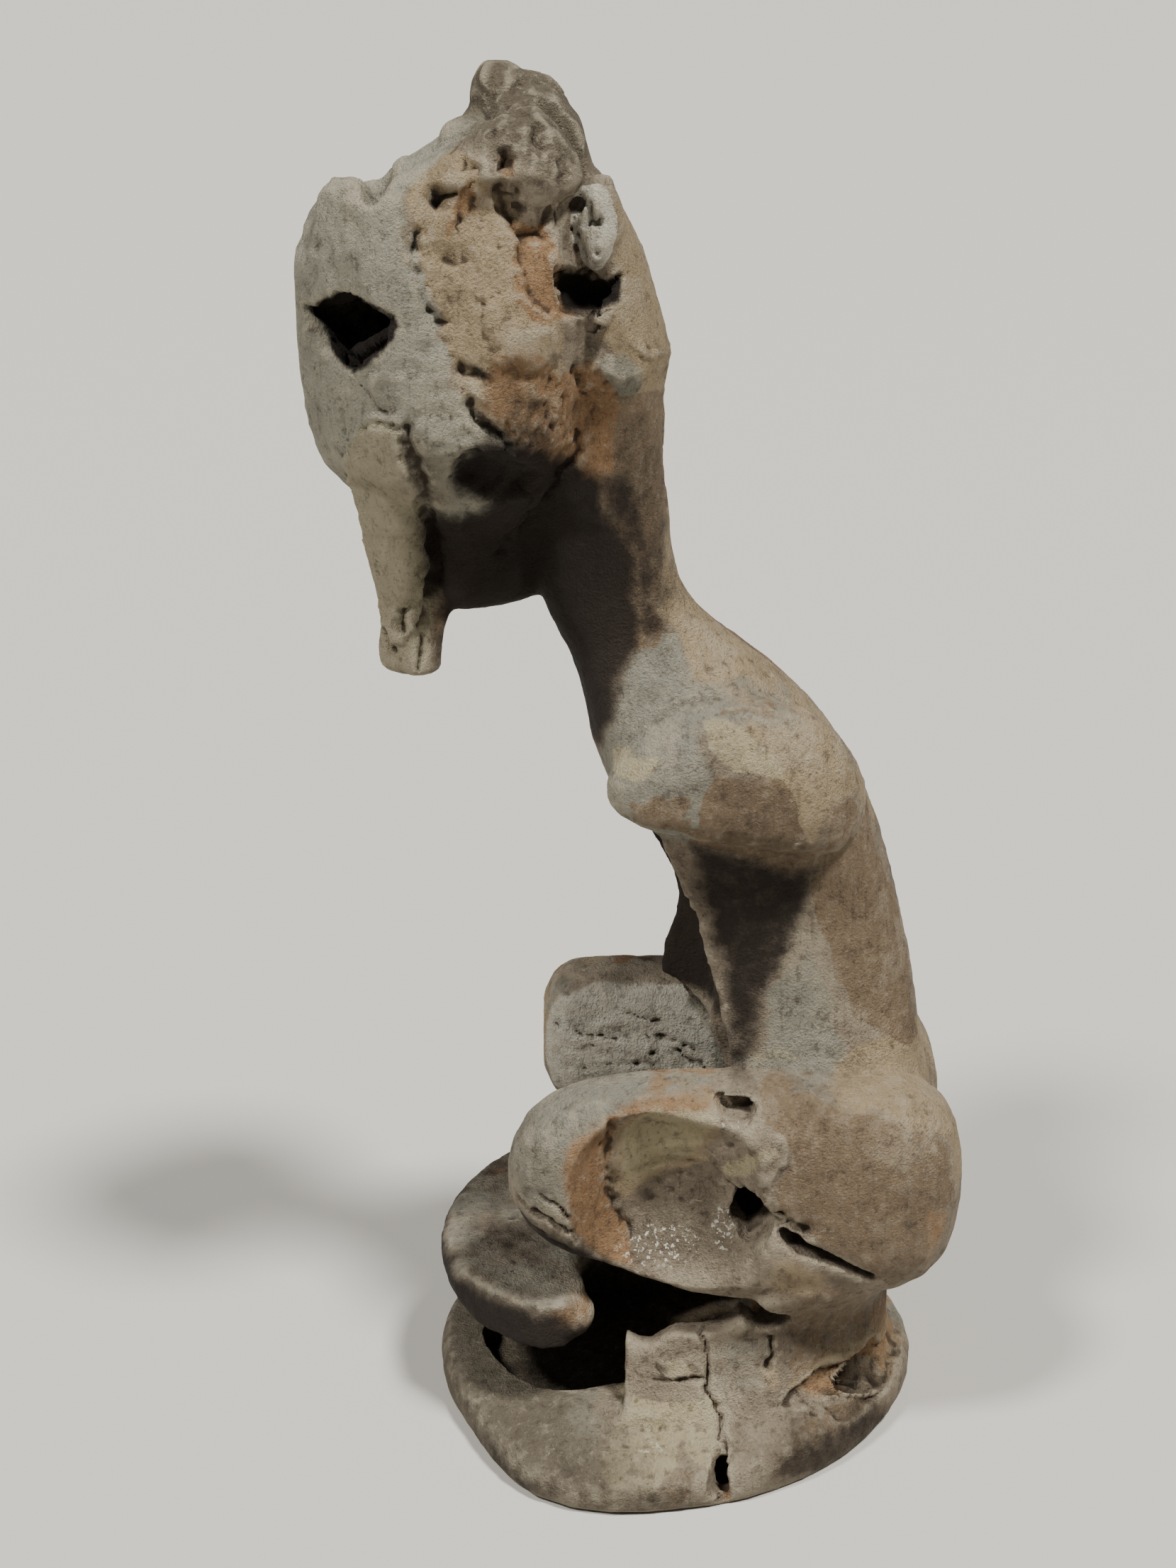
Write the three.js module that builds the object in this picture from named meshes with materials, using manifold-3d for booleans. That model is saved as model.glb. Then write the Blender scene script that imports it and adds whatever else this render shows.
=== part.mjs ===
// A weathered wooden figure seated on a round stool, carved in one with its low round plinth.
// Millimetres, +Z up. The figure faces -Y and its left side is +X. The origin is the centre
// of the plinth's underside. Rot has hollowed the head, the stool and the left thigh. The
// arms, the shins and the front and upper parts of the stool's near wall are lost.

import * as THREE from 'three';
import { mergeVertices } from 'three/addons/utils/BufferGeometryUtils.js';
import Module from 'manifold-3d';

const wasm = await Module();
wasm.setup();

// Plinth: radii every 30 degrees, starting at the figure's left side
const PLINTH_RADII = [77.5, 74, 75, 80, 80, 79, 80, 79, 80, 79.5, 78.5, 85.5];
const PLINTH_RIM = 16;
const PLINTH_CROWN = 18;
const PLINTH_FOOT_IN = 2.5;
const WORN_RIM_DROP = 0.42;
const WORN_RIM_ANGLE = THREE.MathUtils.degToRad(-18);
const WORN_RIM_SPREAD = THREE.MathUtils.degToRad(34);

// Flake broken from the plinth's crown behind the drum's near wall
const FLAKE_CENTRE = [33, 57, 20];
const FLAKE_TURN = THREE.MathUtils.degToRad(26);

// Stool seat: a flat disc whose near part is broken away
const SEAT_RADIUS = 79;
const SEAT_TOP = 57;
const SEAT_THICK = 16;
const SEAT_FOOT_IN = 5;

// Head: turned towards the figure's left
const HEAD_TURN = THREE.MathUtils.degToRad(45);
const HEAD_PIVOT = [-16, -45, 0];

// Thighs and shoulders, measured to their middle planes
const LEFT_THIGH_X = 38;
const RIGHT_THIGH_X = -39;
const SHOULDER_X = 29;

// Rows of height, front, back, half width, middle
const BODY = [
  [62, 34, 74, 34, 0],
  [78, 27, 82, 36, 0],
  [96, 22, 84, 38, 0],
  [112, 20, 82, 38, 0],
  [124, 6, 79, 36, 0],
  [136, -2, 76.5, 31, 0],
  [148, -9, 74.8, 29, 0],
  [160, -4.5, 72.3, 29, 0],
  [170, -2, 70, 29.5, 0],
  [182, -4, 66.8, 30.5, 0],
  [194, -10, 63.6, 33, 0],
  [208, -17, 58.8, 38, 0],
  [221, -24, 52.3, 42, 0],
  [233, -29, 45, 41, 0],
  [245, -31, 34.7, 35, 0],
  [256, -34.2, 22, 27, 0],
  [264, -38.3, 11, 22.5, 0],
  [272, -42.5, 2.5, 21, 0],
  [282, -45, -3.2, 20.5, 0],
  [296, -47, -5.2, 21, 0],
  [312, -50, -6.8, 23, 0],
  [328, -54, -11, 24, 0],
];

const NAPE = [
  [300, -50, -7, 22, 0],
  [318, -56, -7.5, 26, 1],
  [335, -62, -8, 29, 2],
  [344, -64, -6, 31, 3],
  [349, -65, -5.3, 32, 3],
  [354, -65, -7, 32, 3],
  [364, -64, -9.8, 33, 3],
  [374, -62, -12.6, 33, 3],
  [384, -60, -17.2, 31, 3],
  [392, -58, -22, 27, 3],
  [398, -56, -26, 21, 4],
  [403, -54, -31.5, 12, 5],
];

// The face and the nose lie in the head's own frame, before it is turned about its pivot
const FACE = [
  [273.5, -33, -6, 6, 4],
  [276, -43, 3, 12, 3],
  [281, -47, 9, 16, 1],
  [290, -48, 14, 19.5, 0],
  [302, -51, 18, 23, 0],
  [312, -62, 20, 26, 0],
  [319, -69, 22, 28, 0],
  [330, -73, 24, 29, 0],
  [342, -75, 24, 29.5, 0],
  [364, -76.3, 21, 29.5, 0],
  [376, -76, 18, 29, 0],
  [386, -75, 14, 28, 0],
  [391, -74, 10, 25.5, 1.5],
  [395.5, -72.5, 5, 19, 5.5],
];

const NOSE = [
  [256, -55, -45, 8, -2.5],
  [258, -57.5, -43, 10, -2.5],
  [264, -57.5, -42, 9.5, -3],
  [270, -57.5, -40, 7.5, -3.5],
  [277, -57, -42, 6, -3.5],
  [285, -58.5, -44, 8, -2.5],
  [298, -61.5, -48, 10, -2],
  [310, -64.5, -54, 11, -1],
  [321, -67, -57, 11.5, 0],
  [329, -70, -60, 11.5, 1],
  [333, -72, -62, 9, 2],
];

// The near side of the head, between the face and the nape
const TEMPLE = [
  [290, -68, -56, 7, 8],
  [303, -80, -45, 18, 12],
  [326, -93, -34, 32, 16],
  [350, -98, -28, 34.5, 15],
  [372, -98, -22, 34, 14],
  [385, -95, -25, 31.5, 12],
  [392, -89, -29, 27, 11],
  [398, -78, -36, 16, 9],
];

const CREST = [
  [380, -92, -26, 25, 6],
  [390, -91, -26, 26, 8],
  [396.5, -88, -27, 25, 9],
  [400, -83, -30, 24, 10],
  [405, -75, -33, 22, 10],
  [410, -67, -36, 18, 9],
  [415, -62, -38, 14, 7],
  [421, -62, -42, 11, 6],
  [426, -60, -49, 7, 6],
  [428.5, -57, -53, 3, 6],
];

// The crest's rotted near side, which overhangs the temple, in rows of distance to the front,
// underside, top, half width, middle
const OVERHANG = [
  [31, 394, 402, 4, 32],
  [34.5, 388, 408.5, 9, 30],
  [43, 384, 418, 15, 28],
  [51, 388, 417, 15, 26],
  [61, 382, 410, 16, 28],
  [70, 387, 405, 14, 29],
  [79, 382, 400.5, 12, 34],
  [86, 386, 396, 5, 37],
];

// Thighs and left shoulder, in rows of the same kind
const LEFT_THIGH = [
  [-88, 84, 103, 9, -12],
  [-85, 73, 114, 17, -9],
  [-78, 64, 123, 22, -5],
  [-66, 59, 129, 24, -2],
  [-45, 57, 130, 24, 0],
  [-20, 56, 131, 22, 0],
  [0, 59, 131, 21, 0],
  [20, 67.5, 129.5, 20, 0],
  [34, 72, 126, 19, 0],
  [44, 78, 120.5, 17, 0],
  [51, 86, 113, 12, 0],
  [54.5, 94, 104, 5, 0],
];

const RIGHT_THIGH = [
  [-88, 84, 103, 9, 12],
  [-85, 73, 114, 17, 9],
  [-78, 64, 123, 22, 5],
  [-66, 59, 129, 24, 2],
  [-45, 56, 132, 24, 0],
  [-20, 66, 134, 22, 0],
  [0, 76, 134.5, 21, 0],
  [18, 82, 135, 20, 0],
  [32, 84, 134.5, 18.5, 0],
  [40, 88, 131.5, 16, 0],
  [44.5, 97, 123, 10, 0],
];

const SHOULDER = [
  [-54, 212, 222, 5, -8],
  [-48, 204, 234, 12, -5],
  [-38, 203, 245, 16, -2],
  [-18, 207, 251, 18.5, 0],
  [0, 210, 249.5, 18.5, 1],
  [12, 213.5, 243.5, 16, 3],
  [18, 217, 237, 12.5, 5],
  [22, 220, 232, 8.5, 7],
  [24, 223, 228, 4, 8],
];

// Rows of height, front, back, half width, middle
const DRUM = [
  [10, -64, 75, 63, 0],
  [17, -62, 74, 57, 0],
  [23, -61, 72, 52.5, 0],
  [31, -60, 71, 49, 0],
  [42, -59, 71, 46.5, 0],
  [52, -40, 75, 50, 0],
  [64, 0, 79, 57, 0],
  [78, 8, 79, 58, 0],
];

// Plan of the rot hollow in the plinth's crown, X then Y
const PLINTH_HOLLOW = [
  [4, -65], [18, -60], [29, -53], [35.5, -43.5], [36.5, -33], [34, -24], [31, -14], [30, 8],
  [20, 28], [2, 38], [-18, 38], [-36, 20], [-40, -10], [-34, -40], [-18, -60],
];
const PLINTH_HOLLOW_FLOOR = 6;

// Plan of what is lost of the seat's near and rear parts
const SEAT_LOST = [
  [24, -84], [30, -70.5], [39, -62], [47, -52], [50.5, -44], [49, -37], [43, -33], [36, -30.5],
  [26, -33], [14, -31.5], [-2, -24], [-14, -4], [-22, 24], [-38, 46], [-58, 90], [110, 90],
  [110, -84],
];

// Plan of the drum's hollow, and of the gap in its near wall
const DRUM_HOLLOW = [
  [37, 18], [25, 43], [4, 56], [-16, 54], [-34, 38], [-38, 8], [-36, -24], [-24, -46], [-4, -54],
  [16, -52], [34, -30], [38, -6],
];
const DRUM_GAP = [
  [-14, -70], [-14, -48], [-4, -36], [20, -20], [36, -17], [52, -18.5], [100, -19], [100, -90],
  [-14, -90],
];

// Broken top of the drum's near wall and the hole behind it, Y then Z
const WALL_BREAK = [
  [-40, 36], [-19.5, 38.5], [-17.5, 41.5], [-13, 39], [-10, 38.5], [-5, 42.5], [-1, 44.5], [5, 44.5],
  [11, 45.5], [16, 48], [18.5, 51.5], [21.5, 49], [24, 46], [28, 46], [32, 48], [35, 51], [31.5, 54.5],
  [27, 55.5], [23, 60], [23, 95], [-40, 95],
];

// Broken front edge of the left flank, and the lap's rotted middle, Y then Z, closed in front
// of the body
const FLANK_BREAK = [
  [-60, 209], [-8, 208], [-3, 193], [4, 180], [6.5, 170], [10, 157], [13, 143], [17, 128],
  [18, 108], [-60, 108],
];
const LAP_BREAK = [[-60, 146], [-12, 146], [0, 141], [9, 134], [14, 122], [17, 108], [-60, 108]];

// The eye hole in the head's own frame, X then Z
const EYE_HOLE = [
  [-13, 362.5], [-4, 366.5], [7, 369], [15, 367.5], [20.2, 364], [19.5, 361.5], [13, 357.5], [8, 355],
  [5, 354], [2.5, 350], [-3, 352.5], [-9, 357.5],
];

// Small breaks on the left side, Y then Z
const THIGH_SLOT = [[8, 130], [21, 128.5], [21.5, 123.5], [12, 124]];
const HIP_CREVICE = [
  [28, 91], [45, 82], [63, 70], [58, 71], [47, 77], [38, 80.5], [33, 82], [29.5, 87],
];

// Crack in the plinth from its crown out to the rim, X then Y
const PLINTH_CRACK = [
  [15, 9.5], [34, 10.6], [52, 9.6], [64, 11], [74, 8], [90, 7], [90, 17], [74, 14], [64, 12.6],
  [52, 10.8], [34, 11.8],
];

// Turns a closed three.js geometry into a solid, leaving out triangles that close to a line
function solid(geometry) {
  geometry.deleteAttribute('normal');
  geometry.deleteAttribute('uv');
  const merged = mergeVertices(geometry, 1e-3);
  const corners = merged.index.array;
  const kept = [];
  for (let i = 0; i < corners.length; i += 3) {
    const [a, b, c] = [corners[i], corners[i + 1], corners[i + 2]];
    if (a !== b && b !== c && c !== a) kept.push(a, b, c);
  }
  return new wasm.Manifold(new wasm.Mesh({
    numProp: 3,
    vertProperties: new Float32Array(merged.attributes.position.array),
    triVerts: new Uint32Array(kept),
  }));
}

// Moves every vertex of a geometry to where the given function sends it
function reshape(geometry, move) {
  const position = geometry.attributes.position;
  const point = new THREE.Vector3();
  for (let i = 0; i < position.count; i += 1) {
    point.fromBufferAttribute(position, i);
    move(point);
    position.setXYZ(i, point.x, point.y, point.z);
  }
  return geometry;
}

// A cylinder bent through rows of sections, each between an ellipse and a rounded square.
// A row gives the place along the run, the low and high edge across it, the half width and
// the middle. The run goes up, or forwards where forward is true. Squareness is 2 for an
// ellipse, and is given for the low and the high half of the section.
function run(rows, { sides = 24, steps = 24, low = 2, high = 2, forward = false, aside = 0 } = {}) {
  const smooth = (points) => new THREE.CatmullRomCurve3(points, false, 'catmullrom');
  const edges = smooth(rows.map((row) => new THREE.Vector3(row[0], row[1], row[2])));
  const widths = smooth(rows.map((row) => new THREE.Vector3(row[3], row[4], 0)));
  const tube = new THREE.CylinderGeometry(1, 1, 1, sides, steps).rotateX(Math.PI / 2);
  return reshape(tube, (point) => {
    const along = THREE.MathUtils.clamp(point.z + 0.5, 0, 1);
    const edge = edges.getPoint(along);
    const width = widths.getPoint(along);
    const reach = Math.hypot(point.x, point.y);
    const power = 2 / (point.y < 0 ? low : high);
    const bow = (value) => Math.sign(value) * Math.abs(value / (reach || 1)) ** power * reach;
    const x = aside + width.y + width.x * bow(point.x);
    const across = (edge.y + edge.z) / 2 + (edge.z - edge.y) / 2 * bow(point.y);
    if (forward) point.set(x, -edge.x, across);
    else point.set(x, across, edge.x);
  });
}

// An egg whose surface is broken up by slow waves, for rot hollows and worn lumps
function lump(centre, radii, { rough = 0.12, phase = 0, detail = 3 } = {}) {
  const ball = new THREE.IcosahedronGeometry(1, detail);
  return reshape(ball, (point) => {
    const wave = Math.sin(5.1 * point.x + 3.3 * point.y + phase)
      + Math.sin(4.3 * point.y - 5.7 * point.z + 2.1 * phase)
      + Math.sin(6.1 * point.z + 3.7 * point.x - phase);
    point.multiplyScalar(1 + rough * wave / 3);
    point.multiply(new THREE.Vector3(...radii)).add(new THREE.Vector3(...centre));
  });
}

// An outline in plan, X then Y, given a height
function upright(outline, from, to) {
  const shape = new THREE.Shape(outline.map(([x, y]) => new THREE.Vector2(x, y)));
  const block = new THREE.ExtrudeGeometry(shape, { depth: to - from, bevelEnabled: false });
  return block.translate(0, 0, from);
}

// An outline in the figure's side plane, Y then Z, given a width in X
function sideways(outline, from, to) {
  const shape = new THREE.Shape(outline.map(([y, z]) => new THREE.Vector2(y, z)));
  const block = new THREE.ExtrudeGeometry(shape, { depth: to - from, bevelEnabled: false });
  return block.rotateX(Math.PI / 2).rotateZ(Math.PI / 2).translate(from, 0, 0);
}

// An outline in the figure's front plane, X then Z, given a depth in Y
function frontal(outline, from, to) {
  const shape = new THREE.Shape(outline.map(([x, z]) => new THREE.Vector2(x, z)));
  const block = new THREE.ExtrudeGeometry(shape, { depth: to - from, bevelEnabled: false });
  return block.rotateX(Math.PI / 2).translate(0, to, 0);
}

// Points of a closed curve drawn smoothly through an outline
function rounded(outline, count) {
  const points = outline.map(([x, y]) => new THREE.Vector3(x, y, 0));
  const curve = new THREE.CatmullRomCurve3(points, true, 'catmullrom');
  return curve.getPoints(count).slice(0, count).map((point) => [point.x, point.y]);
}

// A disc turned from a profile of radius and height
function disc(profile, segments) {
  const points = profile.map(([radius, height]) => new THREE.Vector2(radius, height));
  return new THREE.LatheGeometry(points, segments).rotateX(Math.PI / 2);
}

function turned(geometry) {
  return geometry.rotateZ(HEAD_TURN).translate(...HEAD_PIVOT);
}

function plinth() {
  const mean = PLINTH_RADII.reduce((sum, radius) => sum + radius, 0) / PLINTH_RADII.length;
  const radii = PLINTH_RADII.map((radius, i) => new THREE.Vector3(i, radius / mean, 0));
  const around = new THREE.CatmullRomCurve3([...radii, radii[0]], false, 'catmullrom');
  const profile = [
    [0, 0], [mean - PLINTH_FOOT_IN, 0], [mean, 4], [mean, PLINTH_RIM - 4], [mean - 2, PLINTH_RIM],
    [mean - 14, PLINTH_CROWN], [mean - 28, PLINTH_CROWN], [0, PLINTH_CROWN],
  ];
  const whole = reshape(disc(profile, 44), (point) => {
    const angle = Math.atan2(point.y, point.x);
    const share = (angle / (2 * Math.PI) + 1) % 1;
    const radius = Math.hypot(point.x, point.y);
    const stretch = THREE.MathUtils.lerp(1, around.getPoint(share).y, radius / mean);
    const worn = Math.exp(-(((angle - WORN_RIM_ANGLE) / WORN_RIM_SPREAD) ** 2));
    const outward = THREE.MathUtils.smoothstep(radius, mean * 0.6, mean);
    point.set(point.x * stretch, point.y * stretch, point.z * (1 - WORN_RIM_DROP * worn * outward));
  });
  return solid(whole);
}

function seat() {
  const low = SEAT_TOP - SEAT_THICK;
  const profile = [
    [0, low], [SEAT_RADIUS - SEAT_FOOT_IN, low], [SEAT_RADIUS - 1, low + 6],
    [SEAT_RADIUS, SEAT_TOP - 4], [SEAT_RADIUS - 3, SEAT_TOP], [0, SEAT_TOP],
  ];
  const lost = upright(SEAT_LOST, low - 1, SEAT_TOP + 1);
  const end = lump([41, -37, 49], [9.5, 10, 8], { rough: 0.08, detail: 2 });
  return solid(disc(profile, 44)).subtract(solid(lost)).add(solid(end));
}

function drum() {
  const outer = solid(run(DRUM, { sides: 30, steps: 7, high: 2.3 }));
  return outer
    .subtract(solid(upright(rounded(DRUM_HOLLOW, 36), 0, 90)))
    .subtract(solid(upright(DRUM_GAP, 0, 90)))
    .subtract(solid(sideways(WALL_BREAK, 12, 90)));
}

function carvedForms() {
  const rightShoulder = SHOULDER.map(
    ([at, low, high, half, middle]) => [at * 0.83, low - 3, high - 7, half, -middle],
  );
  const thigh = { low: 2.4, high: 2.8, forward: true };
  const breast = { low: 3.6, forward: true };
  return [
    run(NAPE, { sides: 22, steps: 12, low: 2.4, high: 2.3 }),
    turned(run(FACE, { sides: 26, steps: 15, low: 4, high: 2.4 })),
    turned(run(NOSE, { sides: 12, steps: 12, low: 3, high: 3 })),
    run(TEMPLE, { sides: 22, steps: 10, low: 3.4, high: 2.6 }),
    run(CREST, { sides: 16, steps: 10 }),
    run(OVERHANG, { sides: 12, steps: 10, forward: true }),
    run(LEFT_THIGH, { sides: 22, steps: 15, aside: LEFT_THIGH_X, ...thigh }),
    run(RIGHT_THIGH, { sides: 20, steps: 12, aside: RIGHT_THIGH_X, ...thigh }),
    run(SHOULDER, { sides: 18, steps: 11, aside: SHOULDER_X, ...breast }),
    run(rightShoulder, { sides: 14, steps: 9, aside: -SHOULDER_X, ...breast }),
    turned(lump([6, -66, 393], [8, 8, 7], { rough: 0.15, detail: 1 })),
    lump([-14, -43, 345], [33, 27, 48], { rough: 0.05, phase: 2, detail: 3 }),
  ];
}

function rotAndBreaks() {
  const flake = lump([0, 0, 0], [6.5, 23, 7], { rough: 0.1, phase: 1.4, detail: 2 })
    .rotateZ(FLAKE_TURN)
    .translate(...FLAKE_CENTRE);
  return [
    upright(rounded(PLINTH_HOLLOW, 36), PLINTH_HOLLOW_FLOOR, 40),
    lump([66, -6, 94], [26, 32, 39], { rough: 0.1, phase: 0.6 }),
    lump([50, 21, 91], [18, 6.5, 11], { rough: 0.2, phase: 2, detail: 2 }),
    lump([10, 20, 66], [26, 30, 30], { rough: 0.15, phase: 1, detail: 2 }),
    turned(frontal(EYE_HOLE, -90, -50)),
    turned(lump([-1, -50, 357], [26, 22, 19], { rough: 0.06, phase: 0.4, detail: 2 })),
    lump([42, -28, 382], [19, 9.5, 20], { rough: 0.12, phase: 3, detail: 2 }),
    sideways(THIGH_SLOT, 43, 70),
    sideways(HIP_CREVICE, 34, 70),
    upright(PLINTH_CRACK, 5, 30),
    flake,
  ];
}

function carve() {
  let figure = solid(run(BODY, { sides: 26, steps: 26, low: 2.8, high: 2.2 }))
    .subtract(solid(sideways(FLANK_BREAK, 8, 60)))
    .subtract(solid(sideways(LAP_BREAK, -18, 9)))
    .subtract(solid(lump([3, -6, 160], [17, 19, 46], { rough: 0.08, phase: 1, detail: 2 })));
  for (const form of carvedForms()) figure = figure.add(solid(form));
  figure = figure.add(plinth()).add(seat()).add(drum());
  for (const loss of rotAndBreaks()) figure = figure.subtract(solid(loss));
  const heartwood = lump([24, -27, 386], [9, 7.5, 14.5], { rough: 0.15, phase: 5, detail: 2 });
  return figure.add(solid(heartwood)).getMesh();
}

const shape = carve();
const geometry = new THREE.BufferGeometry();
geometry.setAttribute('position', new THREE.BufferAttribute(new Float32Array(shape.vertProperties), 3));
geometry.setIndex(new THREE.BufferAttribute(new Uint32Array(shape.triVerts), 1));

const wood = new THREE.MeshStandardMaterial({ color: 0x8a7a66, roughness: 0.85, metalness: 0 });
const carving = new THREE.Mesh(geometry, wood);
carving.name = 'seated_figure';

const model = new THREE.Group();
model.add(carving);

export default model;
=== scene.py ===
import math

import bpy
import numpy as np
from mathutils import Matrix, Vector


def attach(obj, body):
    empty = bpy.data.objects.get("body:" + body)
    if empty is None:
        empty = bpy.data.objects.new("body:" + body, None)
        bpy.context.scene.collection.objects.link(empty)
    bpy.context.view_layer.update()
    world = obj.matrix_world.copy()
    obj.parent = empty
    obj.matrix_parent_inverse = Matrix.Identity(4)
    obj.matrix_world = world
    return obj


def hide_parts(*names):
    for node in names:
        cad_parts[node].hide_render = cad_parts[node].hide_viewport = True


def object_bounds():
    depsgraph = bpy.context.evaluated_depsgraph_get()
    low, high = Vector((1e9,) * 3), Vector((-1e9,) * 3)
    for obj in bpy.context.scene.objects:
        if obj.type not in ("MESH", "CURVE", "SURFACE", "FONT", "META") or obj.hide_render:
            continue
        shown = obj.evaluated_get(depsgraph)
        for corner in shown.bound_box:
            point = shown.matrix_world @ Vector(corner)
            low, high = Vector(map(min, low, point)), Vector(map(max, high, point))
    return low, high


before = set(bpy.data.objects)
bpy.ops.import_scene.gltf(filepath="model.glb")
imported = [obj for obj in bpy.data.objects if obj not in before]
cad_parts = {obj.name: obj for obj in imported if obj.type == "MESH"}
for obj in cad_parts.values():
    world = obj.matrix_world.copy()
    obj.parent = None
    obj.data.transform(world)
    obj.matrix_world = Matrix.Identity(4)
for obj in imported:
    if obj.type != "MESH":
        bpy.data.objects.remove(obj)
CAD_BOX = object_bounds()

bl_info = {
    "name": "Weathered seated figure",
    "version": (1, 0, 0),
    "blender": (4, 5, 0),
    "location": "3D View > Sidebar > Figure",
    "description": "A rotted wooden seated figure carved in one with its stool and plinth",
    "category": "Object",
}

NODE = "seated_figure"
BODY = "root"
PIECE = "weathered_carving"
MM = 0.001

# Places are in millimetres: X to the figure's left, which is the near side, Y to its back, Z up.
# An outline or a line drawn on the near side is rows of Y and Z.


# Patterns

# A fixed lattice of random heights that all the slow and fine patterns are read from
LATTICE_SIZE = 48
LATTICE = np.random.default_rng(11).random((LATTICE_SIZE,) * 3)

# Each seed reads the lattice from another place
SEED_STEP = np.array([7.31, 3.17, 5.71])


def waves(points, size, seed=0):
    """Smooth lumps about size millimetres across, from -1 to 1."""
    place = points / size + seed * SEED_STEP
    cell = np.floor(place).astype(int)
    part = place - cell
    part = part * part * (3 - 2 * part)
    total = np.zeros(len(points))
    for corner in np.ndindex(2, 2, 2):
        weight = np.prod(np.where(corner, part, 1 - part), axis=1)
        i, j, k = ((cell + corner) % LATTICE_SIZE).T
        total += weight * LATTICE[i, j, k]
    return total * 2 - 1


def rubble(points, size, layers=3, seed=0):
    """Lumps with smaller and lower lumps on them, from about -1 to 1."""
    finer, lower, most = 2.1, 1.7, 1.6
    total = np.zeros(len(points))
    for layer in range(layers):
        total += waves(points, size / finer ** layer, seed + layer) / lower ** layer
    return total / most


def crags(points, size, layers=4, seed=0):
    """Sharp ridges with rounded hollows between them, from about -1 to 1."""
    finer, lower, most, steepness = 2.0, 1.8, 1.4, 2.6
    total = np.zeros(len(points))
    for layer in range(layers):
        slope = steepness * np.abs(waves(points, size / finer ** layer, seed + layer))
        total += (1 - slope) / lower ** layer
    return total / most


def pits(points, size, share, seed=0):
    """Round holes about size millimetres across, 1 at the bottom, on part of the surface."""
    large, small, finer, wall = 0.7, 0.3, 0.55, 0.3
    field = large * waves(points, size, seed) + small * waves(points, size * finer, seed + 3)
    return ramp(field, 1 - share, 1 - share + wall)


def fibres(points, along, width, seed=0):
    """Long ridges and grooves about width millimetres apart, running along a direction."""
    large, small, finer, squeeze = 0.7, 0.3, 2.2, 0.9
    along = np.array(along, float) / np.linalg.norm(along)
    squeezed = points - squeeze * (points @ along)[:, None] * along
    return large * waves(squeezed, width, seed) + small * waves(squeezed, width / finer, seed + 1)


def ramp(value, low, high):
    """Goes smoothly from 0 at low to 1 at high."""
    share = np.clip((value - low) / (high - low), 0, 1)
    return share * share * (3 - 2 * share)


def shaken(points, amount, size, seed):
    """The points moved by slow waves, which makes an outline drawn on them ragged."""
    return points + amount * np.stack([rubble(points, size, 3, seed + i) for i in range(3)], axis=1)


def away_from(places, path):
    """Distance in millimetres from each place to a path of straight stretches."""
    path = np.array(path, float)
    nearest = np.linalg.norm(places - path[0], axis=1)
    for start, end in zip(path[:-1], path[1:]):
        step = end - start
        share = np.clip((places - start) @ step / (step @ step), 0, 1)
        gap = np.linalg.norm(places - start - share[:, None] * step, axis=1)
        nearest = np.minimum(nearest, gap)
    return nearest


def inside(places, outline):
    """Distance in millimetres from each place to a closed outline, negative outside it."""
    within = np.zeros(len(places), bool)
    across, up = places.T
    for (across0, up0), (across1, up1) in zip(outline, outline[1:] + outline[:1]):
        if up0 != up1:
            edge = across0 + (across1 - across0) * (up - up0) / (up1 - up0)
            within ^= ((up0 > up) != (up1 > up)) & (across < edge)
    gap = away_from(places, outline + outline[:1])
    return np.where(within, gap, -gap)


def spot(points, centre, radii):
    """1 at the middle of an egg, 0 at its edge and outside it."""
    core = 0.2
    reach = np.linalg.norm((points - np.array(centre, float)) / np.array(radii, float), axis=1)
    return 1 - ramp(reach, core, 1.0)


# Small forms that stand clear of the plain solid: lowest and highest X, and the outline. A form
# that changes along X has the outline at each of them.
FORMS = {
    "web_behind_chin": (8, 21, [(-80, 284), (-67, 283), (-73, 267), (-78, 263)]),
    "wedge_in_pocket": (34, 41, [(-31, 363), (-24, 360), (-22, 365), (-24, 366)]),
    "knob_on_brow": (14, 24, [(-84, 399), (-77, 400), (-76, 393), (-85, 392)]),
    "web_on_crest": (8, 32, [(-58, 410), (-57, 424), (-49, 426), (-40, 418), (-35, 404)],
                     [(-55, 404), (-51, 412), (-46, 414), (-40, 411), (-35, 402)]),
    "rear_of_crest": (2, 20, [(-46, 400), (-46, 426), (-40, 424), (-32, 414), (-28, 400)],
                      [(-46, 400), (-46, 421), (-38, 419), (-31, 410), (-29, 398)]),
}

# Larger dents and swellings: centre, radii and how far the wood moves, all as X, Y and Z
MOVES = {
    "notch_in_brow": ((30, -87, 398), (24, 6.5, 9), (0, 0, -9)),
    "top_of_brow": ((24, -97, 396), (12, 6, 8), (0, 0, 1.5)),
    "front_of_brow": ((24, -109, 388), (14, 9, 14), (0, 3, -4)),
    "bump_behind_notch": ((18, -80, 400), (9, 4, 6), (0, -1, 1.5)),
    "bump_before_crest": ((17, -66, 411), (10, 6, 7), (0, -2, 1.5)),
    "dent_before_crest": ((16, -57, 416), (9, 4, 6), (0, 1, -3)),
    "front_of_crest": ((12, -54, 424), (10, 5, 6), (0, -3, 0)),
    "side_of_crest": ((26, -52, 412), (12, 10, 10), (3, 0, 0)),
    "cheekbone": ((45, -48, 358), (8, 12, 9), (2.0, 0, 0)),
    "dent_in_temple": ((45, -66, 376), (8, 6, 12), (-1.2, 0, 0)),
    "ledge_under_crest": ((42, -56, 402), (8, 6, 5), (2.0, 0, 0)),
    "crown_of_plinth": ((50, -14, 18), (10, 16, 6), (3, 0, 2)),
}

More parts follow.
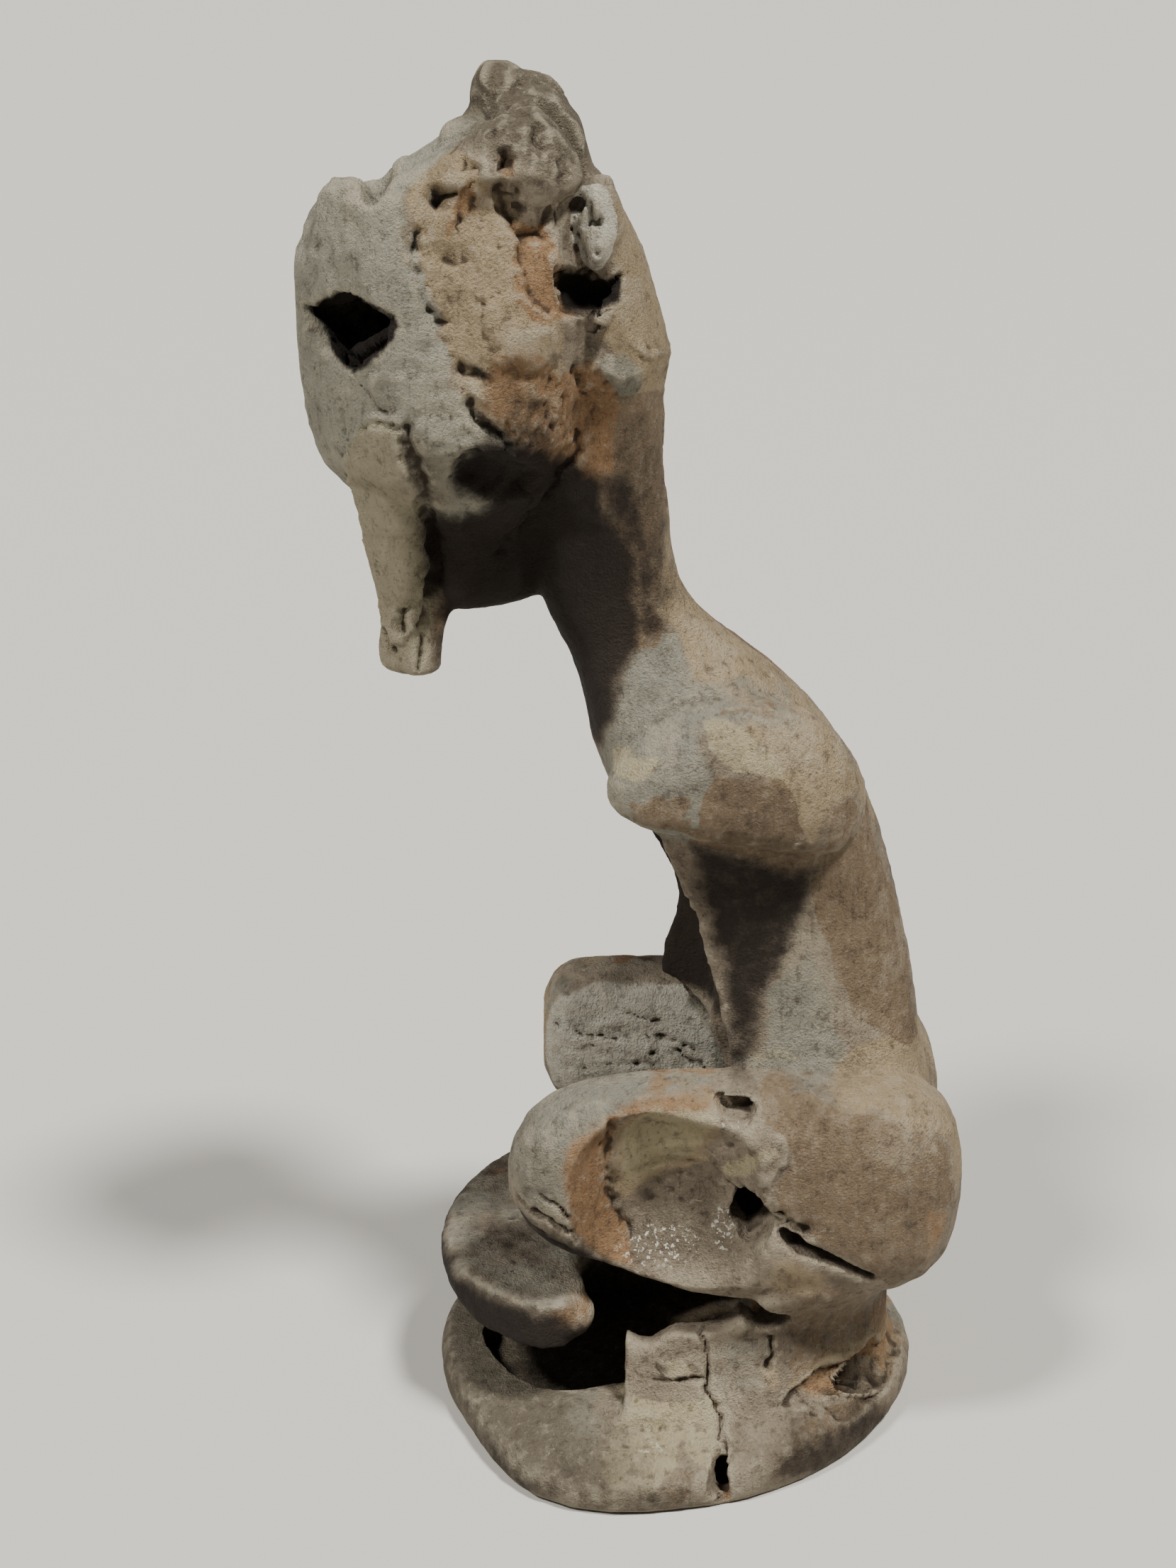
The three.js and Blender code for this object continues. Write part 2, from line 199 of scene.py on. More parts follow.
# Grooves, holes and cracks on the near side: line, half width and depth. A ridge has a minus depth.
LINES = {
    "edge_of_face_crust": [
        ([(-78, 390), (-75, 384), (-75, 376), (-73, 370), (-70, 364), (-68, 357)], 1.6, 0.9),
        ([(-66, 352), (-64, 346), (-61, 340)], 1.4, 0.7),
    ],
    "crest_and_temple": [
        ([(-54, 407), (-53, 404)], 2.4, 3.5),
        ([(-44, 411), (-43, 409)], 2.2, 3.2),
        ([(-51, 416), (-47, 416), (-44, 413)], 1.8, 2.0),
        ([(-69, 396), (-67, 395)], 2.8, 5.0),
        ([(-75, 385), (-75, 383)], 1.8, 3.0),
        ([(-70, 366), (-70, 363)], 1.8, 2.6),
        ([(-67, 379), (-63, 378)], 1.2, 1.4),
        ([(-63, 404), (-60, 402)], 1.6, 1.6),
        ([(-52, 396), (-50, 390), (-46, 386), (-41, 386), (-38, 390), (-34, 393)], 2.4, 3.4),
        ([(-56, 372), (-51, 370), (-44, 367), (-38, 363)], 1.3, -1.0),
    ],
    "jaw": [
        ([(-65, 351), (-63, 349), (-59, 349), (-56, 346)], 1.6, 1.8),
        ([(-62, 341), (-57, 334), (-52, 329)], 1.9, 3.6),
        ([(-32, 330), (-34, 322), (-42, 310), (-48, 303), (-55, 292)], 0.9, 2.0),
        ([(-53, 300), (-44, 309), (-37, 318)], 1.4, -0.8),
        ([(-36, 330), (-41, 338), (-40, 346)], 1.2, 1.0),
        ([(-33, 348), (-31, 340), (-27, 332)], 1.4, 1.0),
        ([(-66, 308), (-65, 301)], 1.3, -1.4),
    ],
    "nose_strip_and_chin": [
        ([(-79, 334), (-76, 320), (-74, 305), (-74, 290), (-76, 281)], 2.0, 2.4),
        ([(-97, 327), (-93, 333), (-87, 338), (-82, 338), (-79, 331)], 1.1, -1.0),
        ([(-89, 269), (-87, 263)], 0.9, 2.4),
        ([(-78, 268), (-79, 259)], 0.9, 2.4),
        ([(-84, 277), (-83, 270)], 0.8, 2.0),
        ([(-92, 344), (-88, 342), (-85, 340)], 0.8, 0.9),
    ],
    "nape": [
        ([(-26, 350), (-20, 346)], 3.6, -1.6),
        ([(-19, 355), (-13, 352), (-7, 351)], 1.1, -1.0),
    ],
    "breast_and_flank": [
        ([(-9, 247), (2, 251), (11, 252), (20, 252), (28, 248), (31, 244)], 1.0, -0.7),
        ([(-6, 204), (0, 192), (5, 180), (8, 168), (11, 156), (14, 144), (16, 131)], 1.3, -0.7),
    ],
    "thigh": [
        ([(-22, 122), (-24, 108), (-23, 95), (-20, 86), (-17, 77)], 1.8, 1.8),
        ([(-50, 95), (-42, 90), (-33, 83)], 0.8, 1.8),
        ([(-45, 100), (-34, 93)], 0.7, 1.3),
        ([(-51, 89), (-44, 84), (-36, 79)], 0.8, 1.6),
        ([(28, 93), (35, 90)], 2.8, 4.0),
        ([(14, 100), (20, 97), (24, 92)], 1.4, 1.4),
    ],
    "stool_wall_and_plinth": [
        ([(7, 44), (8, 32), (9, 24), (12, 16), (13, 10), (12, 4), (12, -2)], 0.7, 3.0),
        ([(13, 8), (12, 2), (12, -2)], 1.8, 3.6),
        ([(28, 44), (29, 33)], 0.7, 2.2),
        ([(-8, 29), (-2, 30), (6, 30)], 0.7, 1.2),
        ([(-19, 40), (-20, 30), (-20, 20)], 0.8, 0.8),
        ([(38, 24), (46, 20), (58, 16)], 0.9, -0.6),
    ],
}

# Sunk patches with a clear edge, on the near side: outline, depth and softness of the edge. A
# raised patch has a minus depth.
PATCHES = {
    "break_at_temple": (
        [(-48, 388), (-40, 386), (-37, 375), (-35, 365), (-42, 366), (-46, 368)], 1.9, 0.9),
    "break_at_crust_edge": ([(-65, 387), (-63, 397), (-60, 399), (-60, 391)], 1.6, 0.9),
    "break_in_crest": ([(-54, 406), (-50, 406), (-50, 401), (-54, 401)], 1.6, 0.8),
    "break_behind_crest": ([(-38, 406), (-35, 406), (-35, 400), (-38, 400)], 1.2, 0.7),
    "cheekbone": (
        [(-58, 371), (-51, 369), (-44, 366), (-38, 361), (-42, 350), (-54, 353)], -1.4, 1.6),
    "hole_under_jaw": (
        [(-68, 319), (-65, 327), (-60, 329), (-51, 325), (-44, 318), (-46, 312), (-57, 313)],
        4.4, 2.2),
    "nose_strip": (
        [(-97, 325), (-93, 332), (-86, 336), (-81, 334), (-78, 316), (-76, 302), (-77, 286),
         (-80, 270), (-88, 264), (-92, 280)], -1.6, 0.6),
    "eye_rim": (
        [(-107, 364), (-98, 369), (-90, 369), (-81, 364), (-82, 360), (-87, 355), (-94, 348),
         (-102, 358)], 4.0, 0.8),
    "chip_on_wall": ([(-7, 36), (0, 38), (6, 35), (5, 31), (-4, 30)], -0.9, 0.6),
    "pocket": (
        [(-36, 376), (-29, 372), (-20, 374), (-21, 368), (-29, 363), (-35, 366)], 6.0, 1.2),
    "flake": (
        [(31, 22), (44, 29), (64, 29), (76, 17), (72, 14), (59, 14), (40, 20)], 2.4, 1.0),
    "lip_of_thigh_hollow": (
        [(10, 110), (21, 124), (30, 121), (31, 113), (25, 106), (18, 102), (12, 97)], -1.3, 1.4),
}

# Cracks and holes in the far thigh's stump, as places in X, Y and Z, half width and depth
FREE_LINES = [
    ([(-19, -9, 116), (-18, 0, 114), (-17, 5, 112)], 1.0, 2.4),
    ([(-18, 0, 110), (-17, 8, 107)], 1.2, 2.6),
    ([(-21, -16, 125), (-20, -6, 122)], 0.9, 1.6),
    ([(-25, -42, 118), (-21, -28, 117), (-20, -20, 116)], 0.8, 1.5),
    ([(-21, -26, 108), (-20, -12, 107)], 0.9, 1.6),
    ([(-25, -36, 110), (-23, -30, 112)], 1.6, 2.2),
]

# Where the surface is eroded: centre, radii, height of the lumps and depth of the pits
ERODED = {
    "crest": ((30, -50, 404), (26, 26, 15), 1.7, 1.5),
    "top_of_crest": ((8, -50, 418), (20, 18, 14), 1.5, 0.8),
    "brow": ((24, -92, 396), (30, 18, 12), 2.2, 1.4),
    "face": ((30, -92, 360), (54, 30, 54), 1.5, 0.3),
    "jaw": ((44, -44, 334), (16, 24, 26), 2.2, 0.7),
    "cheek": ((46, -66, 340), (16, 22, 40), 1.6, 0.5),
    "chin": ((15, -84, 262), (16, 16, 12), 1.5, 0.9),
    "temple": ((47, -58, 378), (12, 26, 24), 1.6, 1.2),
    "thigh_hollow": ((40, 0, 85), (20, 26, 24), 1.5, 0.9),
    "far_thigh": ((-26, -16, 110), (26, 34, 20), 1.8, 1.6),
    "belly": ((25, 4, 168), (14, 14, 44), 1.5, 1.0),
    "seat": ((0, -45, 57), (60, 40, 12), 1.1, 0.9),
    "plinth_rim": ((60, 0, 12), (30, 80, 14), 1.3, 0.6),
    "plinth_rear": ((34, 60, 22), (30, 26, 12), 1.6, 1.0),
    "hip_hole": ((55, 24, 96), (14, 12, 22), 1.6, 1.2),
    "foot_of_plinth": ((0, 0, 6), (90, 90, 14), 1.2, 0.6),
    "behind_cheek": ((30, -28, 346), (14, 14, 14), 2.0, 1.4),
    "stool_wall": ((44, -2, 32), (12, 22, 14), 1.3, 0.5),
    "lap": ((0, -30, 110), (70, 60, 50), 0.8, 0.3),
    "shoulder": ((30, 10, 236), (30, 44, 30), 0.9, 0.2),
}

# Where the wood shows its fibres: centre, radii, direction of the grain, width and height
FIBROUS = {
    "jaw": ((42, -38, 336), (18, 22, 28), (0, 0.7, 1), 2.6, 0.9),
    "floor_of_thigh_hollow": ((45, -2, 104), (14, 26, 24), (0, 1, 0.35), 2.4, 0.5),
    "front_of_thigh_hollow": ((48, -30, 96), (10, 12, 26), (0, 0.4, 1), 3.0, 0.9),
    "rear_of_stool_wall": ((48, 20, 34), (12, 14, 14), (0, 1, 0.1), 3.0, 0.9),
    "nose_strip": ((20, -84, 300), (14, 12, 40), (0, -0.1, 1), 3.0, 0.4),
    "far_thigh": ((-26, -16, 112), (22, 30, 20), (0, 1, 0.1), 4.0, 1.2),
    "flake": ((30, 66, 22), (26, 24, 12), (1, -0.6, 0), 3.0, 1.1),
    "stool_wall": ((47, -4, 34), (10, 18, 14), (0, 1, 0), 4.0, 0.5),
}

# The rotted heartwood in the pocket behind the temple: centre and radii, and how deep its insect
# holes go, which are taller than wide
HEARTWOOD = (32, -28, 386), (10, 9.5, 18)
HOLE_DEPTH = 2.2
HOLE_SQUEEZE = np.array([1, 1, 0.7])

# The pale crust of the face: how far across the turned head it reaches, by height, how far its
# edge strays and fades, the heights between which its colour starts, its thickness, and the
# heights between which that starts
HEAD_TURN = math.radians(45)
HEAD_PIVOT = (-16, -45)
CRUST_EDGE = [
    (299, -6), (303, 18), (306, 25), (310, 30), (328, 40), (334, 37), (340, 34), (350, 31),
    (364, 28), (376, 25), (390, 22), (402, 19),
]
CRUST_STRAY = 2.5
CRUST_FADE = 0.8
CRUST_FROM = (297, 302)
CRUST_THICKNESS = 0.9
CRUST_RAISED_FROM = (292, 312)

# Stains, painted shade and painted light on the near side: strength, lowest and highest X, and
# outline
ANY = (-100, 100)
NEAR = (2, 100)
STAINS = {
    "tan": {
        "temple": (1.0, NEAR, [
            (-78, 400), (-66, 412), (-58, 402), (-52, 396), (-46, 388), (-38, 384), (-35, 345),
            (-50, 328), (-62, 342), (-72, 368)]),
        "back_of_head": (0.9, ANY, [
            (-24, 398), (-14, 384), (-2, 362), (-2, 336), (-18, 340), (-26, 356), (-21, 374)]),
        "shoulder_and_breast": (1.0, ANY, [
            (-10, 274), (2, 275), (18, 262), (34, 250), (48, 235), (66, 204), (60, 203),
            (50, 224), (43, 224), (41, 212), (34, 210), (29, 221), (23, 235), (16, 236),
            (17, 247), (29, 244), (31, 248), (13, 252), (0, 256), (-3, 267)]),
        "hips": (0.9, ANY, [
            (44, 131), (52, 139), (80, 137), (96, 106), (86, 96), (83, 113), (72, 120),
            (60, 124), (48, 128)]),
        "thigh_hollow": (1.0, NEAR, [
            (-22, 118), (-10, 129), (6, 132), (13, 125), (8, 110), (-2, 100), (-19, 92),
            (-23, 105)]),
        "under_hip": (0.7, NEAR, [(24, 81), (34, 82), (46, 74), (46, 61), (27, 63)]),
        "plinth_before_split": (0.4, NEAR, [
            (-12, 20), (6, 23), (12, 16), (13, 8), (7, 8), (-6, 13)]),
        "foot_of_stool_wall": (0.8, NEAR, [(24, 35), (32, 34), (30, 24), (26, 25)]),
        # Partly the break's own tan wood, partly painted light on the flake, which lies in the
        # body's shade
        "flake": (1.0, (0, 100), [(34, 26), (46, 34), (66, 34), (80, 20), (72, 16), (50, 19)]),
        "foot_of_nape": (0.7, ANY, [(-9, 310), (2, 306), (4, 284), (2, 272), (-6, 271), (-9, 283)]),
    },
    "grey": {
        "breast": (0.9, NEAR, [
            (-16, 268), (-3, 267), (0, 256), (13, 252), (31, 246), (3, 244), (6, 238), (10, 222),
            (7, 207), (-10, 206), (-30, 224), (-24, 240), (-21, 250)]),
        "flank": (0.8, NEAR, [(26, 158), (40, 170), (46, 155), (49, 139), (46, 130), (20, 130)]),
        "thigh_top": (0.8, NEAR, [
            (-54, 119), (-20, 134), (20, 136), (36, 132), (10, 131), (-20, 126), (-34, 119),
            (-39, 109), (-35, 98), (-48, 92), (-56, 104)]),
        "seat": (0.7, ANY, [(-90, 62), (-26, 62), (-26, 55), (-90, 55)]),
        "stool_wall": (0.45, NEAR, [(8, 46), (30, 48), (31, 34), (24, 22), (10, 24)]),
        "plinth_front": (0.6, ANY, [(-84, 22), (-24, 22), (-24, 8), (-84, 2)]),
        "knob_behind_cheek": (0.9, NEAR, [
            (-27, 351), (-18, 352), (-15, 341), (-22, 337), (-27, 343)]),
    },
    "pale": {
        "breast_top": (0.8, NEAR, [
            (4, 247), (12, 248), (18, 243), (26, 238), (28, 230), (21, 233), (14, 233), (7, 238)]),
        "breast_front": (0.8, NEAR, [(-22, 235), (-9, 240), (-8, 238), (-14, 231), (-22, 230)]),
        "lip_of_thigh_hollow": (0.6, NEAR, [
            (13, 110), (24, 121), (31, 117), (25, 113), (16, 101), (9, 105)]),
        "chip_on_wall": (0.6, NEAR, [(-7, 36), (0, 38), (6, 35), (5, 31), (-4, 30)]),
        "line_over_breast": (0.5, NEAR, [
            (-11, 246), (2, 250), (20, 251), (28, 247), (20, 253), (0, 253)]),
        "waist": (0.5, NEAR, [(20, 138), (30, 142), (42, 134), (30, 131), (18, 131)]),
        # Partly pale wood, partly painted light on the shaded flake
        "flake": (0.5, (0, 100), [(34, 26), (46, 34), (66, 34), (80, 21), (70, 17), (50, 20)]),
        "thigh_hollow": (0.7, NEAR, [
            (-20, 116), (-10, 128), (6, 131), (11, 125), (7, 112), (-2, 102), (-17, 94)]),
        "plinth_by_split": (0.9, NEAR, [
            (-26, 10), (-16, 24), (-4, 23), (12, 26), (11, 12), (0, 15), (-12, 7)]),
    },
    # Grey-brown darkening of the crest, jaw, seat, plinth, knee, thigh hollow and chin; beside the
    # nose strip and on the far thigh's top it is painted shadow
    "grime_and_shade": {
        "crest": (0.9, ANY, [
            (-70, 412), (-58, 408), (-34, 396), (-20, 410), (-40, 440), (-62, 440)]),
        "jaw": (0.4, NEAR, [
            (-54, 352), (-44, 350), (-34, 340), (-30, 318), (-44, 313), (-54, 326)]),
        "seat": (0.3, ANY, [(-90, 62), (-28, 62), (-26, 50), (-90, 50)]),
        "plinth_front": (0.75, ANY, [
            (-90, 24), (-44, 24), (-26, 17), (-8, 12), (2, 4), (-10, -4), (-90, -4)]),
        "plinth_rear": (0.35, ANY, [(-14, 14), (34, 22), (80, 18), (90, -4), (-14, -4)]),
        "knee": (0.5, NEAR, [(-56, 122), (-38, 118), (-34, 96), (-30, 78), (-58, 88)]),
        "thigh_hollow": (0.5, NEAR, [
            (-8, 96), (5, 108), (13, 99), (15, 81), (22, 78), (19, 68), (1, 67), (-18, 71),
            (-20, 81)]),
        # Painted shadow of the nose strip on the crust beside it
        "beside_nose_strip": (0.9, NEAR, [
            (-79, 334), (-73, 326), (-70, 315), (-74, 303), (-78, 300)]),
        # Painted shadow along the top of the far thigh
        "far_thigh_top": (0.3, (-30, -8), [(-60, 140), (10, 140), (12, 122), (-60, 122)]),
        "chin": (0.25, NEAR, [(-95, 284), (-76, 284), (-76, 256), (-95, 256)]),
    },
    # Painted light on the far thigh, which the body keeps in shade
    "bare_wood_and_painted_light": {
        "far_thigh": (0.45, (-32, -8), [
            (-62, 133), (-48, 137), (-36, 131), (-22, 137), (12, 134), (14, 96), (-62, 90)]),
    },
    "strip": {
        "nose_strip": (1.0, ANY, [
            (-98, 324), (-93, 333), (-87, 337), (-81, 334), (-78, 318), (-75, 302), (-75, 284),
            (-76, 256), (-100, 256), (-100, 300)]),
    },
    "patina": {
        "breast": (0.9, NEAR, [
            (8, 234), (16, 231), (23, 236), (29, 227), (33, 216), (39, 209), (38, 196),
            (17, 203), (0, 207), (3, 218), (5, 227)]),
        "breast_front": (0.55, NEAR, [
            (-20, 224), (-8, 230), (3, 229), (3, 212), (-10, 213), (-19, 217)]),
        "over_breast": (0.6, NEAR, [
            (7, 250), (17, 251), (26, 249), (31, 243), (19, 247), (9, 246)]),
        "back": (0.9, NEAR, [
            (43, 222), (48, 223), (57, 208), (64, 186), (70, 166), (74, 143), (77, 130),
            (66, 136), (53, 147), (47, 158), (45, 168), (40, 181), (38, 191), (41, 210)]),
        "thigh": (0.9, NEAR, [
            (23, 130), (39, 130), (48, 128), (60, 124), (72, 120), (82, 112), (85, 96), (74, 94),
            (74, 75), (67, 66), (46, 83), (29, 95), (28, 105), (33, 115), (31, 121), (23, 126)]),
        "stool_wall": (0.5, NEAR, [
            (26, 80), (60, 66), (66, 30), (49, 30), (38, 22), (33, 30), (36, 41), (30, 58)]),
        "nape": (0.9, ANY, [
            (-24, 342), (-8, 338), (-4, 306), (-7, 283), (-10, 264), (-20, 266), (-18, 290),
            (-29, 314)]),
        "stool_front": (0.4, NEAR, [(-40, 42), (6, 44), (8, 20), (-20, 20)]),
        "plinth_before_split": (0.8, NEAR, [
            (-24, 12), (-12, 14), (-2, 14), (5, 12), (2, 5), (-8, 0), (-26, 2)]),
        "plinth_rear": (0.9, NEAR, [
            (30, 13), (41, 17), (58, 17), (74, 12), (68, -4), (58, -4), (44, 1), (29, 8)]),
    },
    # Dark patina, and in the places marked below painted shade
    "dark": {
        # The neck's front, shaded by the head: painted shade over dark patina
        "under_jaw": (1.0, ANY, [
            (-67, 324), (-60, 331), (-51, 332), (-42, 327), (-34, 321), (-27, 316), (-25, 307),
            (-17, 294), (-14, 282), (-14, 270), (-18, 261), (-20, 250), (-26, 234), (-50, 236),
            (-60, 262), (-74, 272), (-78, 286), (-77, 306), (-59, 308), (-57, 313), (-66, 315)]),
        "under_knee": (0.8, NEAR, [(-52, 92), (-33, 83), (-22, 71), (-30, 66), (-56, 84)]),
        # Painted shadow of the breast on the flank, over dark patina
        "under_breast": (0.8, NEAR, [
            (0, 208), (42, 198), (38, 186), (29, 163), (19, 130), (14, 130), (11, 164), (4, 183)]),
        # Painted shade on the seat's side
        "seat_edge": (0.9, ANY, [(-90, 56), (-40, 56), (-34, 50), (-26, 48), (-26, 36), (-90, 36)]),
        "jaw": (0.5, NEAR, [
            (-58, 342), (-50, 348), (-40, 342), (-35, 326), (-44, 320), (-52, 328)]),
        "breast": (0.4, NEAR, [
            (12, 234), (19, 235), (26, 230), (35, 221), (38, 213), (40, 196), (30, 200),
            (17, 204), (5, 205), (11, 222), (9, 230)]),
        "thigh": (0.3, NEAR, [
            (23, 130), (39, 130), (48, 128), (60, 124), (72, 118), (80, 108), (82, 96), (74, 92),
            (74, 75), (67, 66), (46, 83), (29, 95), (28, 105), (33, 115), (31, 121), (23, 126)]),
        "foot_of_plinth": (0.6, NEAR, [(-72, 5), (-60, 9), (-43, 9), (-35, 6), (-52, 1), (-69, 0)]),
        "plinth_before_split": (0.55, NEAR, [
            (-22, 11), (-11, 13), (1, 11), (7, 9), (1, 3), (-16, 4)]),
        "plinth_rear": (0.65, NEAR, [
            (29, 14), (36, 17), (48, 17), (67, 14), (72, 3), (64, -2), (41, -1), (29, 5)]),
        "plinth_front": (0.4, NEAR, [(-40, 15), (-30, 16), (-28, 8), (-38, 6)]),
        "nape": (0.8, ANY, [
            (-28, 315), (-21, 318), (-13, 308), (-9, 288), (-8, 270), (-14, 264), (-17, 290)]),
        "nape_edge": (0.5, ANY, [
            (-24, 336), (-12, 334), (-3, 300), (0, 276), (-12, 262), (-20, 300)]),
        "belly": (0.9, (-30, 20), [
            (-30, 206), (2, 204), (12, 160), (16, 138), (-8, 138), (-14, 170)]),
    },
    "rust": {
        "jaw": (1.0, NEAR, [
            (-56, 353), (-44, 355), (-36, 349), (-29, 350), (-21, 338), (-22, 318), (-34, 314),
            (-43, 320), (-51, 330), (-58, 341)]),
        "temple_break": (1.0, NEAR, [
            (-50, 389), (-39, 388), (-36, 376), (-32, 362), (-43, 363), (-49, 367)]),
        "crust_edge_break": (1.0, NEAR, [(-66, 386), (-64, 397), (-59, 399), (-59, 391)]),
        "crest_break": (0.9, NEAR, [(-54, 407), (-50, 407), (-50, 401), (-54, 401)]),
        "thigh_hollow_front": (0.9, NEAR, [
            (-38, 116), (-29, 121), (-22, 126), (-20, 122), (-23, 113), (-22, 95), (-19, 81),
            (-15, 70), (-23, 71), (-31, 80), (-36, 95), (-39, 108)]),
        "thigh_hollow_top": (0.8, NEAR, [
            (-26, 125), (-10, 130), (7, 131.5), (11, 128), (-8, 126), (-22, 121)]),
        "flake": (0.75, (0, 100), [(34, 24), (44, 30), (64, 30), (78, 19), (72, 16), (50, 19)]),
        "stool_rear": (0.6, ANY, [(66, 44), (90, 30), (86, 12), (70, 18), (60, 40)]),
        "buttock_edge": (0.7, NEAR, [(73, 96), (82, 94), (80, 82), (75, 70), (72, 82)]),
        "web_behind_chin": (0.5, ANY, [(-78, 281), (-66, 281), (-70, 268), (-76, 264)]),
        "seat_break": (0.7, (30, 100), [(-44, 57), (-28, 56), (-26, 42), (-38, 44)]),
        "foot_of_split": (1.0, NEAR, [(11, 7), (15, 9), (15, -2), (11, -2)]),
    },
    # Near-black painted shade inside the eye, the hole and slot under the jaw, the pocket and the
    # cheek's break
    "hollow_shade": {
        "eye": (1.0, (8, 100), [
            (-108, 364), (-98, 370), (-90, 370), (-80, 364), (-82, 359), (-87, 354), (-94, 347),
            (-103, 358)]),
        "hole_under_jaw": (0.8, NEAR, [
            (-67, 319), (-64, 326), (-60, 328), (-53, 324), (-50, 319), (-58, 314)]),
        "jaw_slot": (0.7, NEAR, [(-62, 341), (-59, 341), (-52, 332), (-54, 329), (-59, 335)]),
        "pocket": (1.0, (-30, 44), [
            (-38, 376), (-29, 371), (-20, 373), (-20, 366), (-29, 362), (-36, 364)]),
        "cheek_break": (0.7, NEAR, [(-67, 353), (-57, 351), (-54, 345), (-59, 346)]),
    },
}

# Rounder stains and painted shade, also on surfaces that face other ways: strength, centre and
# radii
ROUND_STAINS = {
    "dark": {
        "front_of_far_thigh": (0.4, (-28, -40, 132), (10, 12, 7)),
        "inside_of_far_thigh": (0.35, (-22, -33, 124), (8, 8, 11)),
        "middle_of_far_thigh": (0.4, (-28, -20, 134), (10, 12, 6)),
        # Painted shadow along the top of the far thigh
        "top_of_far_thigh": (0.6, (-44, -22, 137), (8, 34, 4)),
        "under_thigh": (0.6, (30, -40, 84), (22, 12, 12)),
    },
    # Near-black painted shade in the hollows of the stool, plinth, head, hip, belly and lap
    "hollow_shade": {
        "stool_hollow": (1.0, (5, 5, 46), (38, 42, 36)),
        "plinth_hollow": (1.0, (-6, -35, 20), (44, 30, 14)),
        "inside_of_head": (1.0, (0, -73, 356), (30, 26, 24)),
        "hip_hole": (1.0, (34, 22, 90), (14, 8, 12)),
        "belly": (0.8, (8, 0, 160), (16, 14, 44)),
        # Painted shadow of the seat on the groove under it
        "groove_under_seat": (0.9, (0, -40, 28), (80, 46, 10)),
        "lap": (0.8, (6, -30, 88), (14, 36, 30)),
    },
    "crumbs": {
        "foot_of_thigh_hollow": (1.0, (44, -8, 76), (10, 18, 11)),
        "below_hip_hole": (1.0, (48, 12, 84), (9, 7, 12)),
        "top_of_thigh": (0.8, (54, 15, 124), (5, 6, 4)),
        "plinth": (0.7, (62, -10, 12), (8, 8, 6)),
        "thigh_hollow": (0.6, (52, -6, 104), (10, 6, 8)),
    },
    # Grey heartwood in the pocket, its own colour
    "bare_wood_and_painted_light": {"heartwood": (1.0, *HEARTWOOD)},
}

# How ragged the edge of each stain and each painted shade is: how far it strays and how wide it
# fades, in millimetres
EDGES = {
    "tan": (4.0, 6.0), "grey": (4.0, 6.0), "pale": (2.0, 3.0), "patina": (3.0, 3.0),
    "dark": (3.0, 6.0), "rust": (3.0, 3.0), "hollow_shade": (2.2, 2.5), "crumbs": (3.0, 2.0),
    "bare_wood_and_painted_light": (1.5, 2.0), "strip": (1.0, 1.5), "grime_and_shade": (5.0, 9.0),
}

# How wide a stain fades at its lowest and highest X, and a round stain's edge in its egg
SIDE_FADE = 5
ROUND_EDGE = (0.1, 0.6)

# The hidden side's stains are slow random patches: size, and the share of the surface they cover
HIDDEN = {"tan": (48, 0.45), "patina": (40, 0.42), "grey": (34, 0.35), "rust": (22, 0.12)}
HIDDEN_STRENGTH = 0.8
HIDDEN_FROM = (4, -8)

# Limits between which an effect grows from nothing to full: X and facing of the near side, heights
# above the floor for rounding and for relief, and how far rounding moves a point before it counts
# as a true edge, which is kept
NEAR_FROM = (2, 8)
NEAR_FACING = (-0.25, 0.25)
ROUNDED_FROM = (0.5, 3.0)
RELIEF_FROM = (0.4, 4.0)
TRUE_EDGE = (0.2, 0.6)

# Rounds of smoothing that take off the steps of the remesh, rounds that find edges and hollows,
# and how strongly these show in their mask
STEP_ROUNDS = 4
EDGE_ROUNDS = 6
EDGE_GAIN = 0.85

# Least lumps and pits of the whole surface, in millimetres
PLAIN_LUMPS = 0.45
PLAIN_PITS = 0.1


# The carving's mesh

def read_points(mesh):
    """The mesh's points in millimetres, as rows of X, Y and Z."""
    flat = np.empty(len(mesh.vertices) * 3, np.float32)
    mesh.vertices.foreach_get("co", flat)
    return flat.reshape(-1, 3).astype(float) / MM


def write_points(mesh, points):
    """Moves the mesh's points to places in millimetres."""
    mesh.vertices.foreach_set("co", (points * MM).astype(np.float32).ravel())
    mesh.update()


def read_normals(mesh):
    """The way the surface faces at each point."""
    flat = np.empty(len(mesh.vertices) * 3, np.float32)
    mesh.vertex_normals.foreach_get("vector", flat)
    return flat.reshape(-1, 3).astype(float)


def settled(mesh, points, rounds, hold=None):
    """The points moved towards the mean of their neighbours; hold is 1 where they stay."""
    pairs = np.empty(len(mesh.edges) * 2, np.int32)
    mesh.edges.foreach_get("vertices", pairs)
    start, end = pairs.reshape(-1, 2).T
    here = np.concatenate([start, end])
    there = np.concatenate([end, start])
    count = np.bincount(here, minlength=len(points))[:, None]
    free = 0.5 if hold is None else 0.5 * (1 - hold)[:, None]
    for _ in range(rounds):
        mean = np.stack([
            np.bincount(here, points[there, axis], len(points)) for axis in range(3)
        ], axis=1) / count
        points = points + (mean - points) * free
    return points


def applied(piece):
    """Applies a piece's modifiers to its mesh."""
    graph = bpy.context.evaluated_depsgraph_get()
    mesh = bpy.data.meshes.new_from_object(piece.evaluated_get(graph))
    if not mesh.polygons:
        raise RuntimeError("no faces are left on " + piece.name)
    piece.modifiers.clear()
    piece.data = mesh
    return mesh


